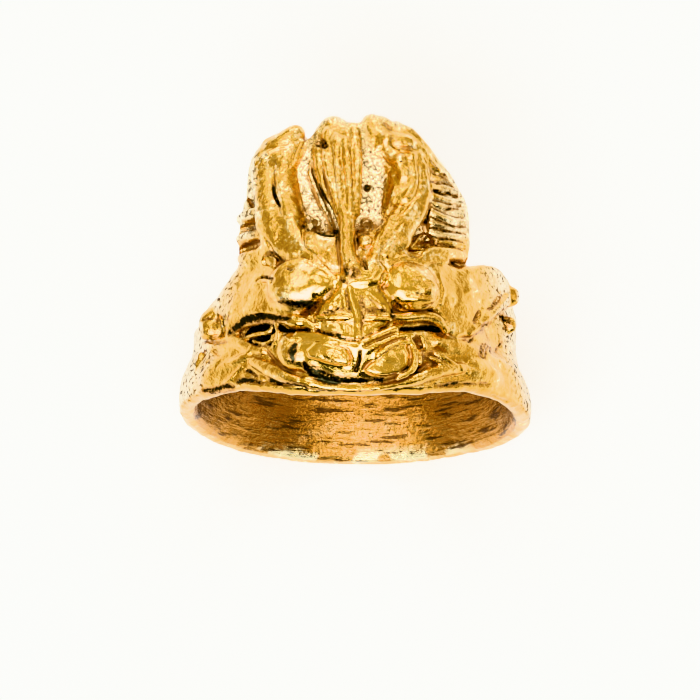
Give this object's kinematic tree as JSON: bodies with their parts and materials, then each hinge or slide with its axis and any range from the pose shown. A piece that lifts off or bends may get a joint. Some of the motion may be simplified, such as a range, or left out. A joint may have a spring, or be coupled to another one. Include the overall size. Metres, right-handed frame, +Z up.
{
  "type": "mask ring",
  "caption": "One-piece cast finger ring: a flared band whose front carries a mask with a plumed crown; it lies on a flat under its back.",
  "frame": {"origin": "middle of the flat under the back of the band, on the surface that the ring lies on", "axes": "+X across the mask to its right as seen from in front, +Y along the finger hole towards the crown, +Z up through the mask"},
  "size_m": [0.0208, 0.0171, 0.0225],
  "materials": {
    "gold": "polished cast yellow gold with darker recesses"
  },
  "bodies": {
    "root": {"mask_ring": "gold"}
  },
  "joints": []
}
